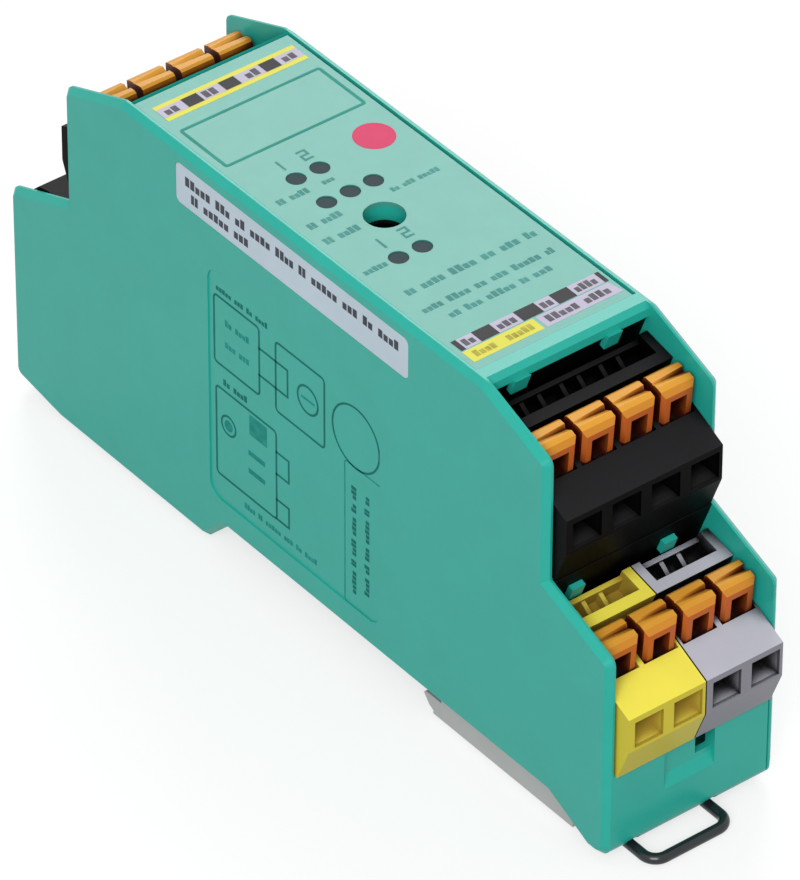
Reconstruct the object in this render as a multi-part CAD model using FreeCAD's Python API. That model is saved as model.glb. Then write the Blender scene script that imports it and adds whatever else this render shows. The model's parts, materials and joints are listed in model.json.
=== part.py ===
import FreeCAD, Part
import math
import os

V = FreeCAD.Vector

# ---- Driving dimensions, millimetres and degrees -------------------------
width = 22.5            # across the row of devices
length = 101.2          # along the body, end to end
flank_t = 0.98          # thickness of each flank
poles = 4               # poles in one full bay
side_share = 0.492      # outer pole centre to plug side, in pole pitches
tilt = 21.0             # lean of the terminal plugs
bevel = 0.7             # bevel round the outside of each flank
clear = 0.15            # gap round a plug in its bay
rail_half = 17.7        # half of the rail seat
front_z = 45.8          # front face above the rail seat
foot_depth = 3.4        # feet below the rail seat
heel_depth = 3.0        # skirt below the rail seat
heel_round = 1.6        # rounding under the near end
far_round = 1.5         # rounding under the far end
lip_rise = 0.8          # lip under each end wall
catch_travel = 3.1      # pull that frees the rail
shoulder_run = 20.5     # each end to the start of the flat front
step_in = 10.3          # one terminal level to the next, along the body
step_up = 19.0          # one terminal level to the next, in height
wall = 1.5              # end walls
front_wall = 1.6        # front wall
board_t = 1.6           # circuit boards

# ---- Values that follow -------------------------------------------------
half_w = width / 2
inner_x = half_w - flank_t                       # inside face of a flank
full_half = inner_x - clear                      # half the width of a full plug
pole_pitch = 2 * full_half / (poles - 1 + 2 * side_share)
plug_side = side_share * pole_pitch
half_len = length / 2
plateau = length - 2 * shoulder_run
mid_y = rail_half - 13.1                         # middle of the housing
sin_t = math.sin(math.radians(tilt))
cos_t = math.cos(math.radians(tilt))
tan_t = sin_t / cos_t
shoulder_half = half_len - step_in
shoulder_z = front_z - (shoulder_half - plateau / 2) * tan_t
end_z = shoulder_z - step_up
inner_step_z = end_z + step_in * tan_t
near_y = mid_y - half_len
far_y = mid_y + half_len

# Terminal plug, measured across (v) and along (u) its own axis
plug_rear = -9.8
plug_front = 5.73
plug_base = -14.0
face_top = (4.17, -5.42)
face_low = (5.73, -9.48)
frame_top_rear = -3.25
frame_top_front = -2.6
bar_front = -5.6
deck_back = -4.61
nose_back = -6.2
nose_front = 1.4
nose_len = 5.5
pin_v = -2.0
nose_side = 0.9         # plug side to nose side
header_wall = 1.2
header_end = 0.75
header_drop = 1.4
stroke = 2.0            # travel of a release lever
back_t = 1.0            # wall behind a plug
back_gap = 0.8          # plug to that wall
lip_t = 1.4
lip_in = 3.1
lip_out = 5.3
pin_level = -22.0
pin_step = 1.7
pin_half = 0.5
pin_first = -9.0

NEAR = -1
FAR = 1
LOWER = 0
UPPER = 1


# ---- Small helpers ------------------------------------------------------
def box(x0, x1, y0, y1, z0, z1):
    return Part.makeBox(x1 - x0, y1 - y0, z1 - z0, V(x0, y0, z0))


def prism(points, x0, x1):
    """Solid between two X planes from a closed list of (y, z) corners."""
    loop = [V(x0, y, z) for y, z in points]
    wire = Part.makePolygon(loop + [loop[0]])
    return Part.Face(wire).extrude(V(x1 - x0, 0, 0))


def fuse(shapes):
    solid = shapes[0]
    if len(shapes) > 1:
        solid = solid.multiFuse(shapes[1:])
    return solid.removeSplitter()


def cut(solid, tools):
    for tool in tools:
        solid = solid.cut(tool)
    return solid


def save(name, shape):
    shape.exportStep(os.path.join("parts", name + ".step"))


class Bay:
    """One terminal bay. u runs out along the plug, v across it."""

    def __init__(self, side, level):
        self.side = side
        self.y = mid_y + side * (half_len - level * step_in)
        self.z = end_z + level * step_up

    def ab(self, a, b):
        return (self.y + self.side * a, self.z + b)

    def yz(self, v, u):
        return self.ab(v * cos_t + u * sin_t, -v * sin_t + u * cos_t)

    def point(self, x, v, u):
        y, z = self.yz(v, u)
        return V(x, y, z)

    def block(self, x0, x1, v0, v1, u0, u1):
        return self.prism([(v0, u0), (v1, u0), (v1, u1), (v0, u1)], x0, x1)

    def prism(self, points, x0, x1):
        return prism([self.yz(v, u) for v, u in points], x0, x1)


near_lower = Bay(NEAR, LOWER)
near_upper = Bay(NEAR, UPPER)
far_lower = Bay(FAR, LOWER)
far_upper = Bay(FAR, UPPER)


# ---- Housing outline ----------------------------------------------------
toe_y = far_y - 8.4
heel_flat = near_y + 2.9
heel_up = near_y + 9.3
outline = [
    (near_y, -heel_depth),
    (heel_flat, -heel_depth),
    (heel_up, 0),
    (rail_half, 0),
    (rail_half + foot_depth, -foot_depth),
    (toe_y, -foot_depth),
    (far_y, -foot_depth + 1.4),
    (far_y, end_z),
    (far_y - step_in, inner_step_z),
    (far_y - step_in, shoulder_z),
    (mid_y + plateau / 2, front_z),
    (mid_y - plateau / 2, front_z),
    (near_y + step_in, shoulder_z),
    (near_y + step_in, inner_step_z),
    (near_y, end_z),
]
outline_radii = [heel_round, 0, 0, 0, 0.8, 2.0, far_round, 1.2, 0, 1.2, 2.0, 2.0, 1.2, 0, 1.2]


def inset_corners(points, inset):
    count = len(points)
    moved = []
    for i in range(count):
        p0 = points[i - 1]
        p1 = points[i]
        p2 = points[(i + 1) % count]
        d1 = (p1[0] - p0[0], p1[1] - p0[1])
        d2 = (p2[0] - p1[0], p2[1] - p1[1])
        l1 = math.hypot(d1[0], d1[1])
        l2 = math.hypot(d2[0], d2[1])
        n1 = (-d1[1] / l1, d1[0] / l1)
        n2 = (-d2[1] / l2, d2[0] / l2)
        k = inset / (1 + n1[0] * n2[0] + n1[1] * n2[1])
        moved.append((p1[0] + k * (n1[0] + n2[0]), p1[1] + k * (n1[1] + n2[1])))
    return moved


def rounded_wire(points, radii, x, inset=0.0):
    """Closed wire in an X plane, corners rounded, moved in by inset."""
    pts = inset_corners(points, inset)
    count = len(pts)
    edges = []
    starts = []
    ends = []
    arcs = []
    for i in range(count):
        p0 = pts[i - 1]
        p1 = pts[i]
        p2 = pts[(i + 1) % count]
        r = radii[i]
        if r == 0:
            starts.append(p1)
            ends.append(p1)
            arcs.append(None)
            continue
        r = max(r - inset, 0.1)
        d1 = (p0[0] - p1[0], p0[1] - p1[1])
        d2 = (p2[0] - p1[0], p2[1] - p1[1])
        l1 = math.hypot(d1[0], d1[1])
        l2 = math.hypot(d2[0], d2[1])
        e1 = (d1[0] / l1, d1[1] / l1)
        e2 = (d2[0] / l2, d2[1] / l2)
        half = math.acos(max(-1, min(1, e1[0] * e2[0] + e1[1] * e2[1]))) / 2
        t = r / math.tan(half)
        a = (p1[0] + e1[0] * t, p1[1] + e1[1] * t)
        b = (p1[0] + e2[0] * t, p1[1] + e2[1] * t)
        mx = e1[0] + e2[0]
        my = e1[1] + e2[1]
        ml = math.hypot(mx, my)
        reach = r / math.sin(half) - r
        m = (p1[0] + mx / ml * reach, p1[1] + my / ml * reach)
        starts.append(a)
        ends.append(b)
        arcs.append(m)
    for i in range(count):
        if arcs[i] is not None:
            a, b, m = starts[i], ends[i], arcs[i]
            arc = Part.Arc(V(x, a[0], a[1]), V(x, m[0], m[1]), V(x, b[0], b[1]))
            edges.append(arc.toShape())
        a = ends[i]
        b = starts[(i + 1) % count]
        edges.append(Part.makeLine(V(x, a[0], a[1]), V(x, b[0], b[1])))
    return Part.Wire(edges)


def flank(sign):
    """Side plate with a bevelled rim; sign -1 left, +1 right."""
    x_in = sign * inner_x
    x_mid = sign * (half_w - bevel)
    x_out = sign * half_w
    full = rounded_wire(outline, outline_radii, x_in)
    plate = Part.Face(full).extrude(V(x_mid - x_in, 0, 0))
    rim = Part.makeLoft(
        [
            rounded_wire(outline, outline_radii, x_mid),
            rounded_wire(outline, outline_radii, x_out, bevel),
        ],
        True,
        True,
    )
    return plate.fuse(rim).removeSplitter()


# ---- Housing shell ------------------------------------------------------
floor_t = 1.2
seat_rise = 0.3
seat_half = rail_half - 3.0
post_r = 2.0
peg_r = 1.0
label_left = -inner_x + 0.06
label_right = inner_x - 0.42
label_near = mid_y - plateau / 2 + 2.2
label_far = mid_y + plateau / 2 - 1.05
label_seam = 0.06
label_groove = 0.45     # wider seam at the far end of the plate
label_recess = 0.65
label_t = 0.6
front_edge = 0.6        # bevel at each end of the front wall
led_r = 1.1
led_columns = [-0.431 * half_w, -0.158 * half_w, 0.109 * half_w]
led_rows = [mid_y + 8.5, mid_y + 3.4, mid_y - 8.5]
led_grid = [(0, 0), (1, 0), (0, 1), (1, 1), (2, 1), (0, 2), (1, 2)]
leds_at = [(led_columns[i], led_rows[j]) for i, j in led_grid]
socket_x = -0.136 * half_w
socket_y = mid_y - 1.95
socket_hole = 2.25
socket_bore = 1.75
socket_depth = 2.4      # from the front face down to the socket
collar_half = socket_hole + 1.35    # half width of the insert that carries the socket's collar
front_bottom = front_z - front_wall
front_board_top = front_bottom - 3.0
front_board_bottom = front_board_top - board_t
board_x = inner_x - board_t
tab_edges = [(-0.658, -0.480), (0.409, 0.569)]
tab_x = [(a * half_w, b * half_w) for a, b in tab_edges]
tab_low_w = 0.15 * half_w
tab_low_shift = -0.02 * half_w
tab_foot = -4.2
tab_head = -2.5
wall_top_u = plug_base - clear
back_v = plug_rear - back_gap
skin_t = 0.4
header_back = nose_back - clear - header_wall
header_front = nose_front + clear + header_wall
header_low = plug_base - nose_len - header_drop
far_rise = 1.4

# Where the boards must stop, from the walls and headers in front of them
edge_gap = 0.4
low_edge = near_lower.yz(header_back, header_low)[0] + edge_gap
low_step = near_lower.yz(back_v - back_t, wall_top_u - floor_t)
high_floor = near_upper.yz(header_back, header_low)
high_front = near_upper.yz(header_front, header_low)
high_step = near_upper.yz(back_v - back_t, wall_top_u - floor_t)
board_half = mid_y - low_edge
step_half = mid_y - low_step[0] - 1.2
high_half = mid_y - high_floor[0] - edge_gap
top_half = mid_y - high_step[0] - 1.2
post_low_half = board_half - 7.7
post_low_z = 14.5
post_high_half = top_half - 8.0
post_high_z = front_board_bottom - 3.1
posts = [
    (mid_y - post_low_half, post_low_z),
    (mid_y + post_low_half, post_low_z),
    (mid_y - post_high_half, post_high_z),
    (mid_y + post_high_half, post_high_z),
]


def end_wall(side):
    """End wall of the tray; its top follows the plug's base."""
    bay = Bay(side, LOWER)
    low = -heel_depth if side == NEAR else -foot_depth + far_rise
    a_in = -wall
    top_out = wall_top_u / cos_t
    top_in = (wall_top_u - a_in * sin_t) / cos_t
    round_r = heel_round if side == NEAR else far_round
    pts = [
        (bay.ab(0, 0)[0], low),
        (bay.ab(a_in - round_r, 0)[0], low),
        (bay.ab(a_in - round_r, 0)[0], low + lip_rise),
        (bay.ab(a_in, 0)[0], low + round_r + lip_rise),
        bay.ab(a_in, top_in),
        bay.ab(0, top_out),
    ]
    radii = [round_r, 0, 0, 0, 0, 0]
    if side == FAR:
        pts = [pts[0]] + pts[:0:-1]
    start = rounded_wire(pts, radii, -inner_x)
    return Part.Face(start).extrude(V(2 * inner_x, 0, 0))


def lip_bar(bay):
    return bay.block(-inner_x, inner_x, lip_in, lip_out, wall_top_u - lip_t, wall_top_u)


def front_reach(bay):
    """Level along u at which an upper bay's wall meets the front wall."""
    return (front_z - bay.z + (plug_rear - clear) * sin_t) / cos_t


def tabs(bay, low, top):
    made = []
    for x0, x1 in tab_x:
        made.append(bay.block(x0, x1, back_v - 1.2, plug_rear - clear, low, top))
    return made


def hooked_tabs(bay, grow):
    """Stops above a lower bay; only their hooked ends come through the wall."""
    made = []
    stem = back_v - skin_t - 0.1 + grow
    top = lip_level(bay)[1] + grow
    for start, _ in tab_x:
        xa = start + tab_low_shift - grow
        xb = xa + tab_low_w + 2 * grow
        made.append(bay.block(xa, xb, back_v - 1.2 - grow, plug_rear - clear + grow,
                              tab_foot - grow, tab_head + grow))
        made.append(bay.block(xa, xb, back_v - 1.2 - grow, stem, tab_foot - grow, top))
    return made


def lip_level(bay):
    """Underside and top of the bar above a lower bay, along that bay's u."""
    shift = -step_in * sin_t + step_up * cos_t
    return wall_top_u - lip_t + shift, wall_top_u + shift


def build_shell():
    parts = [flank(-1), end_wall(NEAR), end_wall(FAR)]
    # floor, and the rail seat standing proud of it
    parts.append(box(-inner_x, inner_x, near_y + wall - 0.2, rail_half + 1.4, seat_rise, floor_t))
    parts.append(box(-inner_x, inner_x, -seat_half, seat_half, 0.0, floor_t))
    # fixed hook for the rail, set in from the flanks
    hook_x = inner_x - 4.2
    hook = [
        (rail_half - 1.3, -1.25),
        (rail_half + 0.2, -1.25),
        (rail_half + 0.2, 0.4),
        (rail_half + 1.6, 0.4),
        (rail_half + foot_depth + 0.3, -foot_depth + floor_t),
        (rail_half + foot_depth, -foot_depth),
        (rail_half - 0.3, -foot_depth),
        (rail_half - 1.3, -foot_depth + 1.2),
    ]
    parts.append(prism(hook, -hook_x, hook_x))
    # far foot
    foot = [
        (rail_half + 0.2, 0.4),
        (rail_half + 1.6, 0.4),
        (rail_half + foot_depth + 0.3, -foot_depth + floor_t),
        (toe_y, -foot_depth + floor_t),
        (far_y - wall, -foot_depth + floor_t + far_rise),
        (far_y - 0.1, -foot_depth + far_rise),
        (toe_y, -foot_depth),
        (rail_half + foot_depth, -foot_depth),
        (rail_half + 0.2, -0.2),
    ]
    parts.append(prism(foot, -inner_x, inner_x))
    # front wall
    y0 = mid_y - plateau / 2
    y1 = mid_y + plateau / 2
    front = [
        (y0, front_bottom),
        (y1, front_bottom),
        (y1, front_z - front_edge),
        (y1 - front_edge, front_z),
        (y0 + front_edge, front_z),
        (y0, front_z - front_edge),
    ]
    parts.append(prism(front, -inner_x, inner_x))
    # collar round the socket
    base = V(socket_x, socket_y, front_z - socket_depth + 0.05)
    parts.append(Part.makeCylinder(socket_hole + 0.8, front_bottom + 0.1 - base.z, base))
    # bars and stops above the plugs
    above = box(-half_w, half_w, near_y - wall, far_y + wall, front_bottom + 0.3, 2 * front_z)
    for bay in (near_upper, far_upper):
        parts.append(lip_bar(bay))
        for tab in tabs(bay, -3.2, front_reach(bay)):
            parts.append(tab.cut(above))
    for bay in (near_lower, far_lower):
        parts += hooked_tabs(bay, 0.0)
    # posts for the main board
    for y, z in posts:
        base = V(-inner_x, y, z)
        parts.append(Part.makeCylinder(post_r, board_x + inner_x, base, V(1, 0, 0)))
        parts.append(Part.makeCylinder(peg_r, 2 * inner_x - 0.1, base, V(1, 0, 0)))
    # shelves for the front board
    for s in (-1, 1):
        yc = mid_y + s * (top_half - 6.0)
        parts.append(box(-inner_x, -inner_x + 1.6, yc - 1, yc + 1,
                         front_board_bottom - 1.2, front_board_bottom))
    # stop for the catch spring
    parts.append(box(-1.6, 1.6, spring_stop - 1.0, spring_stop, plate_top + 0.2, 0.3))
    shell = fuse(parts)
    # recess for the label plate and the holes in the front
    tools = [box(-inner_x, inner_x, label_near - label_seam, label_far + label_groove,
                 front_z - label_recess, front_z + 2)]
    tools += front_holes()
    # recess and catch slot in the near wall
    recess_top = end_z - 12
    ramp = [
        (near_y - 1, 2.6),
        (near_y, 2.6),
        (near_y + 0.7, 4.0),
        (near_y + 0.7, recess_top),
        (near_y - 1, recess_top),
    ]
    tools.append(prism(ramp, -0.32 * half_w, 0.27 * half_w))
    tools.append(box(0.09 * half_w, 0.27 * half_w, near_y - 1, near_y + wall + 1, 4.6, recess_top))
    # notches in the near skirt for the arms of the loop
    for x in loop_arms:
        tools.append(box(x - loop_r - 0.2, x + loop_r + 0.2, near_y - 1, near_y + wall + heel_round + 1,
                         -heel_depth - 1, -heel_depth + lip_rise + 0.2))
    # shallow panel and sticker recess on the left flank
    tools.append(rounded_slab(-half_w - 1, -half_w + panel_sunk, panel_near, panel_far,
                              panel_low, panel_top, panel_r))
    tools.append(rounded_slab(-half_w - 1, -half_w + label_skin + 0.02, sticker_near, sticker_far,
                              sticker_low, sticker_top, sticker_r))
    # shadow line beside the cover
    for side in (NEAR, FAR):
        y = mid_y + side * half_len
        tools.append(box(inner_x - 0.2, inner_x, min(y, y - side * 0.2) - 0.001,
                         max(y, y - side * 0.2) + 0.001, -foot_depth, end_z))
    return cut(shell, tools)


panel_near = mid_y - 0.1344 * length
panel_far = mid_y + 0.1522 * length
panel_low = 3.6
panel_top = 33.7
panel_sunk = 0.15
panel_r = 1.8
label_skin = 0.1
sticker_near = mid_y - 0.18 * length
sticker_far = mid_y + 0.2035 * length
sticker_top = front_z - 1.8
sticker_low = sticker_top - 5.1
sticker_r = 0.7


def rounded_slab(x0, x1, y0, y1, z0, z1, r):
    """Box whose corners are rounded as seen along X."""
    slab = box(x0, x1, y0, y1, z0, z1)
    upright = [e for e in slab.Edges if abs(e.tangentAt(0).x) > 0.99]
    return slab.makeFillet(r, upright)


def collar_block():
    """Space of the insert that carries the socket's collar."""
    return box(socket_x - collar_half, socket_x + collar_half, socket_y - collar_half,
               socket_y + collar_half, front_z - socket_depth, 2 * front_z)


def front_holes():
    holes = []
    for x, y in leds_at:
        holes.append(Part.makeCylinder(led_r, front_wall + 2, V(x, y, front_bottom - 1)))
    base = V(socket_x, socket_y, front_z - socket_depth - 1)
    holes.append(Part.makeCylinder(socket_hole, socket_depth + 2, base))
    return holes


# ---- Catch for the rail -------------------------------------------------
catch_x = inner_x - 0.17
plate_top = -foot_depth + 0.85
nose_tip = -rail_half + 2.7
catch_end = near_y + wall + heel_round + catch_travel + 0.3
spring_lug = -rail_half + 0.7
spring_stop = spring_lug - 13.0


def build_catch():
    plate = box(-catch_x, catch_x, catch_end, nose_tip - 1.6, -foot_depth, plate_top)
    flange_pts = [
        (catch_end, plate_top - 0.2),
        (catch_end, -0.9),
        (catch_end + 0.8, -0.1),
        (-rail_half - 0.2, -0.1),
        (-rail_half - 0.2, -1.2),
        (nose_tip - 0.3, -1.2),
        (nose_tip, -1.5),
        (nose_tip - 0.9, -2.6),
        (nose_tip - 2.3, -foot_depth),
        (catch_end, -foot_depth),
    ]
    parts = [plate]
    for x0 in (-catch_x, catch_x - 0.9):
        parts.append(prism(flange_pts, x0, x0 + 0.9))
    nose_pts = [
        (nose_tip - 2.6, -foot_depth),
        (nose_tip - 2.3, -foot_depth),
        (nose_tip - 0.9, -2.6),
        (nose_tip, -1.5),
        (nose_tip - 0.3, -1.2),
        (nose_tip - 1.2, -1.2),
        (nose_tip - 1.6, -2.2),
        (nose_tip - 2.6, -2.5),
    ]
    parts.append(prism(nose_pts, -catch_x, catch_x))
    parts.append(box(-1.5, 1.5, spring_lug, spring_lug + 0.9, -foot_depth + 0.1, -0.3 - 0.9))
    body = fuse(parts)
    # notches for the wire loop
    tools = []
    for x in loop_arms:
        tools.append(box(x - loop_r - 0.02, x + loop_r + 0.02, catch_end - 1, catch_end + 7,
                         -foot_depth - 1, plate_top + 0.1))
    return cut(body, tools)


loop_r = 0.62
loop_arms = (-7.3, 2.9)
loop_out = near_y - 3.0
loop_z = plate_top - loop_r - 0.02


def build_loop():
    x0, x1 = loop_arms
    y_in = catch_end + 7 - 0.02
    r = 1.6
    k = r * (1 - math.sqrt(0.5))
    p = [
        V(x0, y_in, loop_z),
        V(x0, loop_out + r, loop_z),
        V(x0 + k, loop_out + k, loop_z),
        V(x0 + r, loop_out, loop_z),
        V(x1 - r, loop_out, loop_z),
        V(x1 - k, loop_out + k, loop_z),
        V(x1, loop_out + r, loop_z),
        V(x1, y_in, loop_z),
    ]
    edges = [
        Part.makeLine(p[0], p[1]),
        Part.Arc(p[1], p[2], p[3]).toShape(),
        Part.makeLine(p[3], p[4]),
        Part.Arc(p[4], p[5], p[6]).toShape(),
        Part.makeLine(p[6], p[7]),
    ]
    path = Part.Wire(edges)
    ring = Part.Wire([Part.makeCircle(loop_r, p[0], V(0, -1, 0))])
    return path.makePipeShell([ring], True, False)


def build_catch_spring():
    turns = 6
    y0 = spring_stop + 0.02
    y1 = spring_lug - 0.02
    z = plate_top / 2
    coil_r = 0.85
    wire_r = 0.2
    gap = (y1 - y0 - 2 * wire_r) / turns
    helix = Part.makeHelix(gap, gap * turns, coil_r)
    ring = Part.Wire([Part.makeCircle(wire_r, V(coil_r, 0, 0), V(0, 1, 0))])
    coil = Part.Wire(helix.Edges).makePipeShell([ring], True, True)
    coil.rotate(V(0, 0, 0), V(1, 0, 0), -90)
    coil.translate(V(0, y0 + wire_r, z))
    return coil


# ---- Terminal plug ------------------------------------------------------
def pole_xs(count, centre):
    return [centre + (i - (count - 1) / 2) * pole_pitch for i in range(count)]


lever_gap = 0.84        # between neighbouring levers
lever_w = pole_pitch - lever_gap
slot_gap = 0.1
lever_rear = -4.8
lever_front = -0.5
chamber_front = -0.2
lever_plate = 0.95      # wall behind the lever's window
window_top = -2.6
lever_brow = [
    (lever_rear, -2.1),
    (lever_rear + 0.25, -1.8),
    (-2.75, -1.35),
    (-2.1, -1.35),
    (-1.5, -1.9),
    (lever_front, -5.2),
]
lever_dip = [(-3.7, -1.5), (-3.45, -1.62), (-3.1, -1.4), (-3.4, -0.9)]
lever_dip_deep = [(-4.0, -1.5), (-3.5, -2.2), (-2.75, -1.3), (-3.3, -0.8)]
edge_cut = 0.4
lever_foot = -8.4
leg = 0.25 * lever_w
slot_low = lever_foot - stroke - 0.2
frame_arm = 1.05
frame_bar = 1.35
frame_back = 0.55
rear_drop = 0.9
pocket_low = -6.0
rib_t = 0.5
rib_top = -4.5
rib_reach = 1.12
mouth_a = 1.95
mouth_b = -8.9
mouth_half = 1.65
mouth_shift = 0.22      # the mouths sit a little to one side
throat_depth = 3.4
throat_end = 2.6
throat_half = 0.238 * lever_w
fork_out = 0.22 * lever_w
fork_in = fork_out - 0.4
chamber_half = fork_out + 0.27


def build_plug(bay, count, centre):
    half = (count - 1) / 2 * pole_pitch + plug_side
    if count < poles:
        half = half - 0.04
    x0 = centre - half
    x1 = centre + half
    side = [
        (plug_rear, plug_base),
        (plug_rear, frame_top_rear),
        (bar_front, frame_top_front),
        (bar_front, deck_back),
        face_top,
        face_low,
        (plug_front, plug_base),
    ]
    body = bay.prism(side, x0, x1)
    nose_half = half - nose_side
    nose_low = plug_base - nose_len
    nose = bay.block(centre - nose_half, centre + nose_half, nose_back, nose_front,
                     nose_low, plug_base + 0.5)
    body = body.fuse(nose)
    # open pocket in the frame behind the levers
    pocket_back = plug_rear + frame_back
    pocket_front = bar_front - frame_bar
    tools = [
        bay.block(x0 + frame_arm, x1 - frame_arm, pocket_back, pocket_front, pocket_low, 0),
        bay.block(x0 + frame_arm, x1 - frame_arm, plug_rear - 1, pocket_back + 0.1,
                  frame_top_rear - rear_drop, 0),
    ]
    for x in pole_xs(count, centre):
        w = lever_w / 2 + slot_gap
        tools.append(bay.block(x - w, x + w, lever_rear - 0.12, lever_front + 0.15, slot_low, 0))
        tools.append(funnel(bay, x))
        # chamber for the contact and the hole for its pin
        tools.append(bay.block(x - chamber_half, x + chamber_half, lever_rear + 0.8, chamber_front,
                               nose_low + 0.8, slot_low + 0.5))
        tools.append(bay.block(x - 0.75, x + 0.75, pin_v - 0.75, pin_v + 0.75,
                               nose_low - 1, plug_base))
    body = cut(body, tools)
    # ribs across the pocket, in pairs beside the pole boundaries
    if count < poles:
        bounds = [centre]
    else:
        bounds = [centre - pole_pitch, centre, centre + pole_pitch]
    rib_side = [
        (pocket_back - 0.1, pocket_low - 0.1),
        (pocket_front + 0.1, pocket_low - 0.1),
        (pocket_front + 0.1, rib_top - 0.7),
        (pocket_back - 0.1, rib_top),
    ]
    ribs = []
    for bound in bounds:
        for dx in (-rib_reach, rib_reach):
            x = bound + dx
            ribs.append(bay.prism(rib_side, x - rib_t / 2, x + rib_t / 2))
    return fuse([body] + ribs)


def level_ring(bay, a, x0, x1, b0, b1):
    pts = []
    for x, b in ((x0, b0), (x1, b0), (x1, b1), (x0, b1)):
        y, z = bay.ab(a, b)
        pts.append(V(x, y, z))
    return Part.makePolygon(pts + [pts[0]])


def funnel(bay, x):
    """Conductor entry: a wide mouth with a ramped sill, then a channel."""
    wide = 0.365 * pole_pitch
    side_x = x + mouth_shift
    top = mouth_b + mouth_half
    low = mouth_b - mouth_half
    throat_low = top - 2 * throat_half
    outer = level_ring(bay, mouth_a + 0.6, side_x - wide, side_x + wide, low, top)
    rim = level_ring(bay, mouth_a - 0.4, side_x - wide, side_x + wide, low, top)
    throat = level_ring(bay, mouth_a - throat_depth, x - throat_half, x + throat_half,
                        throat_low, top - 0.1)
    inner = level_ring(bay, mouth_a - throat_depth - throat_end, x - throat_half, x + throat_half,
                       throat_low, top - 0.1)
    first = Part.makeLoft([outer, rim], True, True)
    second = Part.makeLoft([rim, throat], True, True)
    third = Part.makeLoft([throat, inner], True, True)
    return first.fuse(second).fuse(third)


def build_lever(bay, x):
    """Release lever: a portal that slides down into the plug."""
    half = lever_w / 2
    side = [(lever_rear, lever_foot)] + lever_brow + [(lever_front, lever_foot)]
    body = bay.prism(side, x - half, x + half)
    window = bay.block(x - half + leg, x + half - leg, lever_rear + lever_plate, 1,
                       lever_foot - 1, window_top)
    bevels = [front_bevel(bay, x, s) for s in (-1, 1)]
    dip_ends = []
    for dx, corners in ((-half - 0.1, lever_dip), (half + 0.1, lever_dip_deep)):
        pts = [bay.point(x + dx, v, u) for v, u in corners]
        dip_ends.append(Part.makePolygon(pts + [pts[0]]))
    dip = Part.makeLoft(dip_ends, True, True)
    return cut(body, [window, dip] + bevels).removeSplitter()


def front_bevel(bay, x, s):
    """Wedge that bevels one upright front edge of a lever."""
    inner = x + s * (lever_w / 2 - edge_cut)
    outer = x + s * (lever_w / 2 + 0.5)
    edge = x + s * lever_w / 2
    loops = []
    for v, u in ((-1.9, -0.5), (lever_front, -5.2), (lever_front, lever_foot - 0.5)):
        pts = [
            bay.point(inner, v + 0.02, u),
            bay.point(inner, v + 0.6, u),
            bay.point(outer, v + 0.6, u),
            bay.point(outer, v - edge_cut, u),
            bay.point(edge, v - edge_cut, u),
        ]
        loops.append(Part.makePolygon(pts + [pts[0]]))
    return Part.makeLoft(loops, True, True)


def build_contacts(bay, count, centre):
    made = []
    low = plug_base - nose_len + 1.0
    top = plug_base + 1.8
    for x in pole_xs(count, centre):
        parts = []
        for s in (-1, 1):
            x_in = x + s * fork_in
            x_out = x + s * fork_out
            parts.append(bay.block(min(x_in, x_out), max(x_in, x_out), pin_v - 0.9, pin_v + 0.9,
                                   low, top))
        parts.append(bay.block(x - fork_out, x + fork_out, lever_rear + 0.9, pin_v + 0.9,
                               top, top + 0.4))
        parts.append(bay.block(x - fork_out, x + fork_out, lever_rear + 0.9, lever_rear + 1.25,
                               top, slot_low - 0.2))
        made.append(fuse(parts))
    return Part.makeCompound(made)


def build_cages(bay, count, centre):
    """Clamping springs, one bent strip for each pole."""
    made = []
    v = lever_rear + 1.25
    foot = slot_low - 0.1
    for x in pole_xs(count, centre):
        outline_vu = [
            (v, foot),
            (v, foot + 2.0),
            (v + 0.35, foot + 2.6),
            (v + 1.05, foot + 2.9),
            (v + 1.75, foot + 2.75),
            (v + 2.15, foot + 2.2),
            (v + 1.25, foot + 0.4),
            (v + 0.95, foot + 0.3),
            (v + 1.8, foot + 2.15),
            (v + 1.6, foot + 2.45),
            (v + 1.1, foot + 2.6),
            (v + 0.6, foot + 2.4),
            (v + 0.3, foot + 1.9),
            (v + 0.3, foot),
        ]
        w = throat_half - 0.05
        made.append(bay.prism(outline_vu, x - w, x + w))
    return Part.makeCompound(made)


# ---- Headers and pins ---------------------------------------------------
def back_wall(bay):
    """Wall behind a plug, with a shelf under the plug's rear edge."""
    shelf_low = wall_top_u - floor_t
    if bay in (near_upper, far_upper):
        top = front_reach(bay)
        thick_top = top
    else:
        low_edge_u, top_edge_u = lip_level(bay)
        top = top_edge_u
        thick_top = low_edge_u - 0.1
    x = inner_x
    back = bay.block(-x, x, back_v - back_t, back_v, shelf_low, thick_top)
    skin = bay.block(-x, x, back_v - skin_t, back_v, shelf_low, top)
    shelf = bay.block(-x, x, back_v - back_t, header_back + 0.1, shelf_low, wall_top_u)
    return back.fuse(skin).fuse(shelf)


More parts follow.
